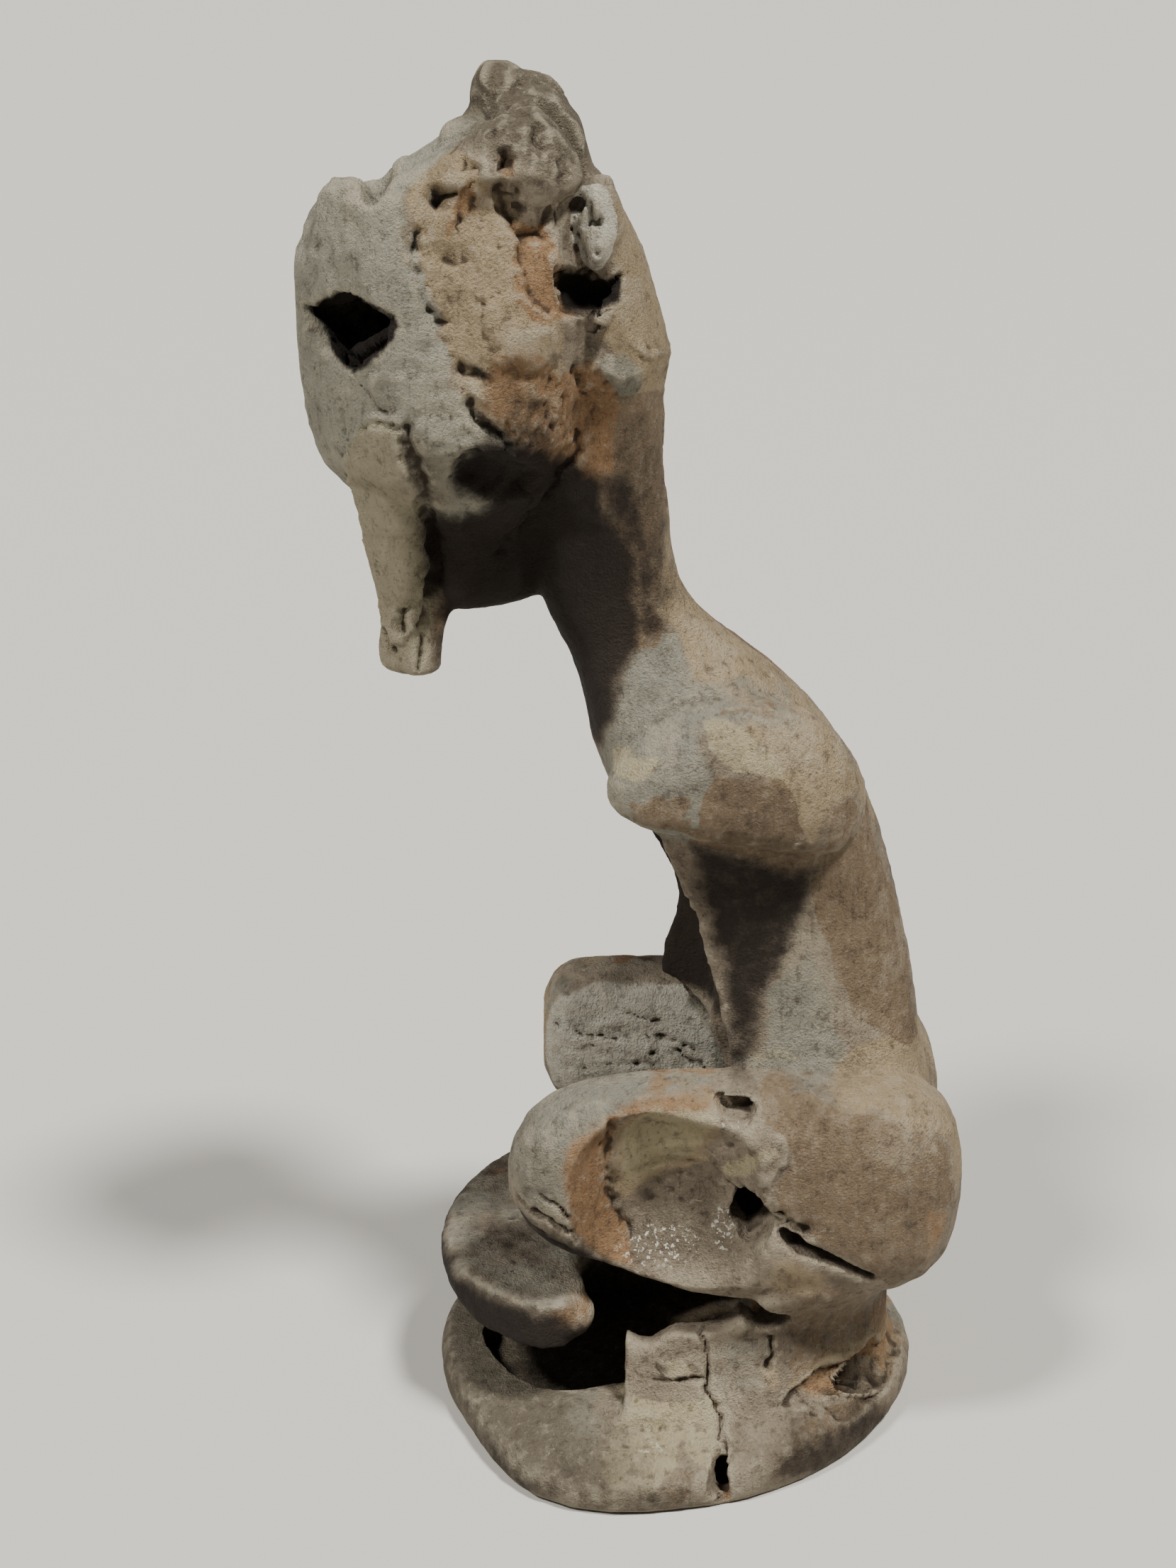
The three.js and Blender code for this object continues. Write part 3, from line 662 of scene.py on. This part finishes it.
def with_forms(mesh):
    """Adds the small forms to a mesh, each a flat-sided block that the remesh then joins."""
    corners = [tuple(vertex.co) for vertex in mesh.vertices]
    faces = [tuple(polygon.vertices) for polygon in mesh.polygons]
    for low, high, *outlines in FORMS.values():
        first = len(corners)
        count = len(outlines[0])
        for x, outline in ((low, outlines[0]), (high, outlines[-1])):
            corners += [(x * MM, y * MM, z * MM) for y, z in outline]
        faces.append(tuple(first + i for i in range(count)))
        faces.append(tuple(first + count + i for i in reversed(range(count))))
        for i in range(count):
            j = (i + 1) % count
            faces.append((first + j, first + i, first + count + i, first + count + j))
    joined = bpy.data.meshes.new(PIECE)
    joined.from_pydata(corners, [], faces)
    return joined


def rounded(mesh, rounds):
    """The points with broad joins rounded, dents and swellings made, and true edges kept."""
    points = read_points(mesh)
    at_floor = 1 - ramp(points[:, 2], *ROUNDED_FROM)
    crisp = settled(mesh, points, STEP_ROUNDS, at_floor)
    soft = settled(mesh, crisp, rounds, at_floor)
    keep = ramp(np.linalg.norm(soft - crisp, axis=1), *TRUE_EDGE)
    points = soft + (crisp - soft) * keep[:, None]
    for centre, radii, move in MOVES.values():
        points = points + spot(points, centre, radii)[:, None] * np.array(move)
    return points


def face_crust(points):
    """1 on the pale crust of the face, falling off at its ragged edge."""
    across = ((points[:, 0] - HEAD_PIVOT[0]) * math.cos(HEAD_TURN)
              + (points[:, 1] - HEAD_PIVOT[1]) * math.sin(HEAD_TURN))
    heights, edges = zip(*CRUST_EDGE)
    edge = np.interp(points[:, 2], heights, edges)
    ragged = edge + CRUST_STRAY * rubble(points, size=7, layers=3, seed=2) - across
    return ramp(ragged, -CRUST_FADE, CRUST_FADE) * ramp(points[:, 2], *CRUST_FROM)


def worn_lumps(points):
    """Broad lumps, sharp ridges and fine lumps, laid over each other."""
    return (0.45 * rubble(points, size=12, layers=3, seed=1)
            + 0.4 * crags(points, size=6, layers=3, seed=12)
            + 0.35 * rubble(points, size=3, layers=2, seed=17))


def near_side_cuts(places, uneven):
    """How deep the lines and patches go at places in Y and Z, in millimetres."""
    cut = np.zeros(len(places))
    for lines in LINES.values():
        for path, half_width, depth in lines:
            cut += depth * np.exp(-(away_from(places, path) / half_width) ** 2)
    cut *= uneven
    for outline, depth, softness in PATCHES.values():
        cut += depth * ramp(inside(places, outline), -softness, softness)
    return cut


def heartwood_holes(points):
    """How deep the insect holes in the heartwood go at each point."""
    depth = HOLE_DEPTH * ramp(spot(points, *HEARTWOOD), 0.1, 0.5)
    return depth * pits(points * HOLE_SQUEEZE, size=2.6, share=0.75, seed=8)


def relief(points, normals):
    """How far each point moves out: lumps, pits, fibres, cracks, patches and the face's crust."""
    lumps = np.full(len(points), PLAIN_LUMPS)
    holes = np.full(len(points), PLAIN_PITS)
    for centre, radii, height, depth in ERODED.values():
        here = spot(points, centre, radii)
        lumps = np.maximum(lumps, height * here)
        holes = np.maximum(holes, depth * here)
    out = lumps * worn_lumps(points)
    out -= holes * pits(points, size=4.6, share=0.42, seed=4)
    for centre, radii, along, width, height in FIBROUS.values():
        out += height * spot(points, centre, radii) * fibres(points, along, width, seed=6)
    out -= heartwood_holes(points)

    torn = shaken(points, amount=2.6, size=6, seed=21)
    uneven = 1 + 0.7 * rubble(points, size=5, layers=2, seed=14)
    near = ramp(points[:, 0], *NEAR_FROM) * ramp(normals[:, 0], *NEAR_FACING)
    seen = near > 0
    out[seen] -= near[seen] * near_side_cuts(torn[seen, 1:], uneven[seen])
    for path, half_width, depth in FREE_LINES:
        out -= uneven * depth * np.exp(-(away_from(torn, path) / half_width) ** 2)
    out += CRUST_THICKNESS * face_crust(points) * ramp(points[:, 2], *CRUST_RAISED_FROM)
    return out * ramp(points[:, 2], *RELIEF_FROM)


def stain_mask(points, name):
    """Where one kind of stain lies, from 0 to 1, with a ragged edge; some kinds are painted shade
    and painted light.
    """
    stray, fade = EDGES[name]
    moved = shaken(points, stray, size=11, seed=31)
    mask = np.zeros(len(points))
    for strength, (low, high), outline in STAINS.get(name, {}).values():
        within = ramp(inside(moved[:, 1:], outline), -fade, fade)
        within *= ramp(moved[:, 0], low, low + SIDE_FADE)
        within *= ramp(-moved[:, 0], -high, SIDE_FADE - high)
        mask = np.maximum(mask, strength * within)
    for strength, centre, radii in ROUND_STAINS.get(name, {}).values():
        mask = np.maximum(mask, strength * ramp(spot(moved, centre, radii), *ROUND_EDGE))
    if name in HIDDEN:
        size, share = HIDDEN[name]
        patch = ramp(rubble(points, size, layers=4, seed=40 + size), 0.5 - share, 0.62 - share)
        hidden = ramp(moved[:, 0], *HIDDEN_FROM)
        mask = np.maximum(mask, HIDDEN_STRENGTH * patch * hidden)
    return mask


def add_masks(mesh, points):
    """Stores where the crust, the edges and hollows, each stain and each painted shade and light
    lie, for the material.
    """
    # The edge mask is high on ridges and low in creases; the material lays worn pale wood and a
    # painted highlight on the ridges, and dirt and painted shade in the creases
    sunk = (settled(mesh, points, EDGE_ROUNDS) - points) * read_normals(mesh)
    masks = {"crust": face_crust(points), "edge": 0.5 - sunk.sum(axis=1) * EDGE_GAIN}
    for name in EDGES:
        masks[name] = stain_mask(points, name)
    for name, mask in masks.items():
        layer = mesh.attributes.new(name, "FLOAT", "POINT")
        layer.data.foreach_set("value", np.clip(mask, 0, 1).astype(np.float32))


def make_carving(settings):
    """Dresses the plain solid: even faces, rounded joins and relief, then masks and material."""
    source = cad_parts[NODE]
    piece = bpy.data.objects.new(PIECE, with_forms(source.data))
    bpy.context.scene.collection.objects.link(piece)
    remesh = piece.modifiers.new("even_faces", "REMESH")
    remesh.mode = "VOXEL"
    remesh.voxel_size = settings.voxel
    mesh = applied(piece)
    points = rounded(mesh, settings.rounding)
    write_points(mesh, points)
    normals = read_normals(mesh)
    write_points(mesh, points + normals * (relief(points, normals) * settings.relief)[:, None])

    # The remesh makes four-sided faces, and each is two triangles
    decimate = piece.modifiers.new("fewer_faces", "DECIMATE")
    decimate.ratio = min(1.0, settings.faces / (2 * len(mesh.polygons)))
    mesh = applied(piece)
    low, high = (np.array(corner) / MM for corner in CAD_BOX)
    points = np.clip(read_points(mesh), low, high)
    write_points(mesh, points)
    add_masks(mesh, points)
    mesh.polygons.foreach_set("use_smooth", np.ones(len(mesh.polygons), bool))
    mesh.materials.clear()
    mesh.materials.append(weathered_wood(settings))
    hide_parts(NODE)
    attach(piece, BODY)


# The material

def linear(code):
    """An sRGB hex value as linear red, green, blue and alpha."""
    parts = [int(code[i:i + 2], 16) / 255 for i in (1, 3, 5)]
    return [c / 12.92 if c <= 0.04045 else ((c + 0.055) / 1.055) ** 2.4 for c in parts] + [1.0]


class Tree:
    """A material's nodes."""

    def __init__(self, name):
        self.material = bpy.data.materials.new(name)
        self.material.use_nodes = True
        self.nodes = self.material.node_tree.nodes
        self.links = self.material.node_tree.links
        self.nodes.clear()

    def add(self, kind, inputs=None, output=0, **settings):
        """Adds a node with its settings and gives one output; an input is a value or an output."""
        node = self.nodes.new("ShaderNode" + kind)
        for key, value in settings.items():
            setattr(node, key, value)
        for key, value in (inputs or {}).items():
            if isinstance(value, bpy.types.NodeSocket):
                self.links.new(value, node.inputs[key])
            else:
                node.inputs[key].default_value = value
        return node if output is None else node.outputs[output]


# Noise patterns: size of a lump in millimetres, detail and roughness
NOISES = {
    "ragged": (6.0, 6.0, 0.72),
    "blotch": (24.0, 5.0, 0.62),
    "mottle": (4.5, 6.0, 0.75),
    "speck": (1.7, 3.0, 0.7),
    "fleck": (2.3, 4.0, 0.75),
    "grit": (0.8, 3.0, 0.7),
    "crumb": (1.5, 2.0, 0.6),
}

# Upright grain: width of a streak in millimetres, and how much the streaks are drawn out. The
# pores of the real wood are too fine to show, so the streaks are coarser.
GRAIN_WIDTH = 1.4
GRAIN_SQUEEZE = 0.045

# The colour layers from the bottom up: attribute or noise, where it starts and is full, colour,
# strength, and how much the ragged noise moves its edge
COLOUR_LAYERS = [
    ("blotch", 0.40, 0.62, "wood_light", 1.0, 0.0),
    ("tan", 0.30, 0.70, "tan", 0.9, 0.8),
    ("grey", 0.30, 0.70, "grey", 0.9, 0.8),
    ("patina", 0.44, 0.54, "patina", 1.0, 0.45),
    ("pale", 0.40, 0.60, "pale", 0.9, 0.6),
    ("crust", 0.30, 0.70, "crust", 1.0, 0.6),
    ("blotch", 0.52, 0.62, "dust", 0.28, 0.0),
    ("blotch", 0.46, 0.36, "stain", 0.22, 0.0),
    ("strip", 0.40, 0.60, "strip", 0.9, 0.4),
    ("rust", 0.30, 0.80, "rust", 0.9, 0.9),
    # Grey bare wood of the heartwood, and painted light on the far thigh
    ("bare_wood_and_painted_light", 0.30, 0.50, "bare_wood_and_painted_light", 1.0, 0.3),
    # Grey-brown darkening, partly painted shadow
    ("grime_and_shade", 0.10, 0.90, "grime_and_shade", 1.0, 0.4),
    ("mottle", 0.52, 0.66, "dust", 0.30, 0.0),
    ("mottle", 0.47, 0.34, "stain", 0.55, 0.0),
    ("grain", 0.54, 0.70, "stain", 0.25, 0.0),
    ("speck", 0.58, 0.70, "stain", 0.5, 0.0),
    ("fleck", 0.60, 0.72, "dust", 0.5, 0.0),
    # Worn pale ridges with a painted highlight, and below dirt with painted shade in the creases
    # and hollows
    ("edge", 0.62, 0.95, "dust", 0.5, 0.0),
    ("edge", 0.38, 0.05, "stain", 0.8, 0.0),
    # Dark patina, and painted shade under the jaw, under the breast, on the seat's side and along
    # the far thigh's top
    ("dark", 0.15, 0.85, "dark", 0.97, 0.8),
    # Painted shade: near-black in the hollows
    ("hollow_shade", 0.35, 0.75, "hollow_shade", 1.0, 0.6),
]

# Where the noise is high enough for a crumb
CRUMB_FROM = 0.57
CRUMB_FULL = 0.62

# Fine relief, too small for the mesh: its height in millimetres, and the share of two patterns
FINE_RELIEF = 1.7
MOTTLE_RISE = 1.3
GRAIN_RISE = 0.5


def weathered_wood(settings):
    """Dry tropical hardwood, adzed, handled dark and then rotted: matt, pitted and streaked, with
    painted shade and painted light laid over it.
    """
    tree = Tree("weathered_hardwood")
    place = tree.add("TexCoord", output="Object")
    fields = {}
    for name, (size, detail, rough) in NOISES.items():
        fields[name] = tree.add("TexNoise", {
            "Vector": place, "Scale": 1 / (size * MM), "Detail": detail, "Roughness": rough,
        }, output="Fac")
    upright = tree.add("Mapping", {"Vector": place, "Scale": (1.0, 1.0, GRAIN_SQUEEZE)})
    fields["grain"] = tree.add("TexNoise", {
        "Vector": upright, "Scale": 1 / (GRAIN_WIDTH * MM), "Detail": 3.0, "Roughness": 0.6,
    }, output="Fac")
    for name in ["crust", "edge"] + list(EDGES):
        fields[name] = tree.add(
            "Attribute", attribute_name=name, attribute_type="GEOMETRY", output="Fac")

    colour = linear(settings.wood)
    for field, low, high, paint, strength, sway in COLOUR_LAYERS:
        value = fields[field]
        if sway:
            shift = tree.add("Math", {0: fields["ragged"], 1: sway, 2: -0.5 * sway},
                             operation="MULTIPLY_ADD")
            value = tree.add("Math", {0: value, 1: shift}, operation="ADD")
        share = tree.add("MapRange", {
            "Value": value, "From Min": low, "From Max": high, "To Max": strength,
        }, interpolation_type="SMOOTHSTEP")
        colour = tree.add("Mix", {0: share, 6: colour, 7: linear(getattr(settings, paint))},
                          output=2, data_type="RGBA")
    grains = tree.add("MapRange", {
        "Value": fields["crumb"], "From Min": CRUMB_FROM, "From Max": CRUMB_FULL,
    })
    crumbs = tree.add("Math", {0: grains, 1: fields["crumbs"]}, operation="MULTIPLY")
    colour = tree.add("Mix", {0: crumbs, 6: colour, 7: linear(settings.crumbs)},
                      output=2, data_type="RGBA")

    rough = tree.add("Math", {0: fields["mottle"], 1: MOTTLE_RISE, 2: fields["grit"]},
                     operation="MULTIPLY_ADD")
    height = tree.add("Math", {0: fields["grain"], 1: GRAIN_RISE, 2: rough},
                      operation="MULTIPLY_ADD")
    bump = tree.add("Bump", {"Height": height, "Strength": 1.0, "Distance": FINE_RELIEF * MM})
    shader = tree.add("BsdfPrincipled", {
        "Base Color": colour, "Roughness": 0.84, "IOR": 1.45, "Specular IOR Level": 0.3,
        "Normal": bump,
    })
    tree.add("OutputMaterial", {"Surface": shader}, output=None)
    return tree.material


def matt_paint(name, colour):
    """Plain matt paint: no grain and no shine."""
    tree = Tree(name)
    shader = tree.add("BsdfPrincipled", {"Base Color": colour, "Roughness": 0.9})
    tree.add("OutputMaterial", {"Surface": shader}, output=None)
    return tree.material


# The stage

def make_stage(settings):
    """Makes a plain floor, even air, two lamps and the camera."""
    half = settings.floor_half
    corners = [(-half, -half, 0), (half, -half, 0), (half, half, 0), (-half, half, 0)]
    mesh = bpy.data.meshes.new("studio_floor")
    mesh.from_pydata(corners, [], [(0, 1, 2, 3)])
    mesh.materials.append(matt_paint("matt_painted_floor", linear(settings.floor)))
    floor = bpy.data.objects.new("studio_floor", mesh)
    bpy.context.scene.collection.objects.link(floor)

    world = bpy.data.worlds.new("studio_air")
    world.use_nodes = True
    air = world.node_tree.nodes["Background"]
    air.inputs["Color"].default_value = linear(settings.air)
    air.inputs["Strength"].default_value = settings.air_strength
    bpy.context.scene.world = world

    lamps = [
        ("key_light", settings.key_from, settings.key_strength),
        ("second_light", settings.second_from, settings.second_strength),
    ]
    for name, towards, strength in lamps:
        lamp = bpy.data.lights.new(name, "SUN")
        lamp.energy = strength
        lamp.angle = settings.softness
        lamp.color = linear(settings.lamp)[:3]
        light = bpy.data.objects.new(name, lamp)
        light.rotation_euler = Vector(towards).to_track_quat("Z", "Y").to_euler()
        bpy.context.scene.collection.objects.link(light)

    lens = bpy.data.cameras.new("camera")
    lens.lens = settings.lens
    lens.sensor_fit = "VERTICAL"
    lens.sensor_height = 36.0
    lens.clip_start = 0.01
    lens.clip_end = 200.0
    camera = bpy.data.objects.new("camera", lens)
    turn = Matrix.Rotation(math.radians(90), 4, "Z")
    pitch = Matrix.Rotation(math.radians(90) - settings.pitch, 4, "X")
    camera.matrix_world = Matrix.Translation(Vector(settings.eye)) @ turn @ pitch
    bpy.context.scene.collection.objects.link(camera)
    bpy.context.scene.camera = camera


# Settings, operators and panel

def hex_property(name, description, default):
    """A colour setting, as an sRGB hex value."""
    return bpy.props.StringProperty(name=name, description=description, default=default)


class CarvingSettings(bpy.types.PropertyGroup):
    """Sizes and colours of the carving."""

    voxel: bpy.props.FloatProperty(
        name="Face size", description="Edge of the even faces before relief is carved",
        default=0.0009, unit="LENGTH", precision=5)
    faces: bpy.props.IntProperty(
        name="Triangles", description="Most triangles the finished mesh keeps", default=190000)
    rounding: bpy.props.IntProperty(
        name="Rounding", description="Rounds of smoothing over the broad joins", default=9)
    relief: bpy.props.FloatProperty(
        name="Relief", description="Strength of pits, cracks and lumps", default=1.0)
    wood: hex_property("Wood", "Grey-brown weathered wood", "#7A6E5E")
    wood_light: hex_property("Light wood", "Paler weathered wood", "#8B7F6D")
    tan: hex_property("Tan wood", "Warm rubbed wood", "#958468")
    grey: hex_property("Grey crust", "Grey-green dry crust", "#807E71")
    pale: hex_property("Pale patch", "Yellowish pale patches", "#A19678")
    patina: hex_property("Patina", "Old brown handled surface", "#766550")
    crust: hex_property("Face crust", "Pale dry crust of the face", "#8D8A7B")
    # Also painted shadow beside the nose strip and on the far thigh's top
    grime_and_shade: hex_property("Grime", "Grey-brown dirt on the upper faces", "#5C5446")
    strip: hex_property("Nose strip", "Olive-grey flat strip", "#928A72")
    rust: hex_property("Break", "Orange-brown broken wood", "#866748")
    # Also painted light on the far thigh
    bare_wood_and_painted_light: hex_property("Bare wood", "Grey bare wood", "#BDB8A9")
    # Also painted shade on the neck, the flank, the seat's side and the far thigh's top
    dark: hex_property("Dark patina", "Darkest old surface", "#1F1711")
    # Also a painted highlight on the ridges
    dust: hex_property("Dust", "Pale dust on the high spots", "#A89E8A")
    # Also painted shade in the creases
    stain: hex_property("Stain", "Dark grain and dirt", "#3A2F26")
    crumbs: hex_property("Crumbs", "White crumbs of insect dust", "#C4BFB2")
    # Near-black painted shade in the hollows
    hollow_shade: hex_property("Hollow", "Near-black rotted hollows", "#1A130D")


class StageSettings(bpy.types.PropertyGroup):
    """Floor, light and camera."""

    floor_half: bpy.props.FloatProperty(
        name="Floor", description="Half the side of the floor", default=60.0, unit="LENGTH")
    floor: hex_property("Floor colour", "Plain pale floor", "#B4B1AB")
    air: hex_property("Air colour", "Even light from all round", "#E6E8EC")
    lamp: hex_property("Lamp colour", "White lamps", "#FFFDF8")
    air_strength: bpy.props.FloatProperty(
        name="Air", description="Strength of the even light", default=0.2)
    key_strength: bpy.props.FloatProperty(
        name="Key light", description="Strength of the main light", default=5.2)
    key_from: bpy.props.FloatVectorProperty(
        name="Key direction", description="Where the main light comes from",
        default=(0.32, 0.32, 0.89), subtype="XYZ")
    second_strength: bpy.props.FloatProperty(
        name="Second light", description="Strength of the light from the front", default=3.3)
    second_from: bpy.props.FloatVectorProperty(
        name="Second direction", description="Where the second light comes from",
        default=(0.40, -0.45, 0.80), subtype="XYZ")
    softness: bpy.props.FloatProperty(
        name="Softness", description="How wide each light looks", default=math.radians(9),
        subtype="ANGLE")
    eye: bpy.props.FloatVectorProperty(
        name="Camera", description="Place of the camera", default=(0.663, -0.0296, 0.4535),
        subtype="TRANSLATION", unit="LENGTH")
    pitch: bpy.props.FloatProperty(
        name="Pitch", description="How far the camera looks down", default=math.radians(19.9),
        subtype="ANGLE")
    lens: bpy.props.FloatProperty(
        name="Lens", description="Focal length in millimetres", default=52.0)


class FIGURE_OT_carving(bpy.types.Operator):
    """Makes the weathered carving over the plain solid."""

    bl_idname = "figure.carving"
    bl_label = "Make carving"

    def execute(self, context):
        make_carving(context.scene.figure_carving)
        return {"FINISHED"}


class FIGURE_OT_stage(bpy.types.Operator):
    """Makes the floor, the light and the camera."""

    bl_idname = "figure.stage"
    bl_label = "Make stage"

    def execute(self, context):
        make_stage(context.scene.figure_stage)
        return {"FINISHED"}


class FIGURE_PT_panel(bpy.types.Panel):
    """Lists the settings and the operators."""

    bl_idname = "FIGURE_PT_panel"
    bl_label = "Weathered figure"
    bl_space_type = "VIEW_3D"
    bl_region_type = "UI"
    bl_category = "Figure"

    def draw(self, context):
        for group, operator in (("figure_carving", "figure.carving"),
                                ("figure_stage", "figure.stage")):
            box = self.layout.box()
            settings = getattr(context.scene, group)
            for name in settings.__annotations__:
                box.prop(settings, name)
            box.operator(operator)


CLASSES = (CarvingSettings, StageSettings, FIGURE_OT_carving, FIGURE_OT_stage, FIGURE_PT_panel)


def register():
    for item in CLASSES:
        bpy.utils.register_class(item)
    bpy.types.Scene.figure_carving = bpy.props.PointerProperty(type=CarvingSettings)
    bpy.types.Scene.figure_stage = bpy.props.PointerProperty(type=StageSettings)


def unregister():
    del bpy.types.Scene.figure_stage
    del bpy.types.Scene.figure_carving
    for item in reversed(CLASSES):
        bpy.utils.unregister_class(item)


def main():
    """Makes the scene."""
    register()
    bpy.ops.figure.stage()
    bpy.ops.figure.carving()


if __name__ == "__main__":
    main()
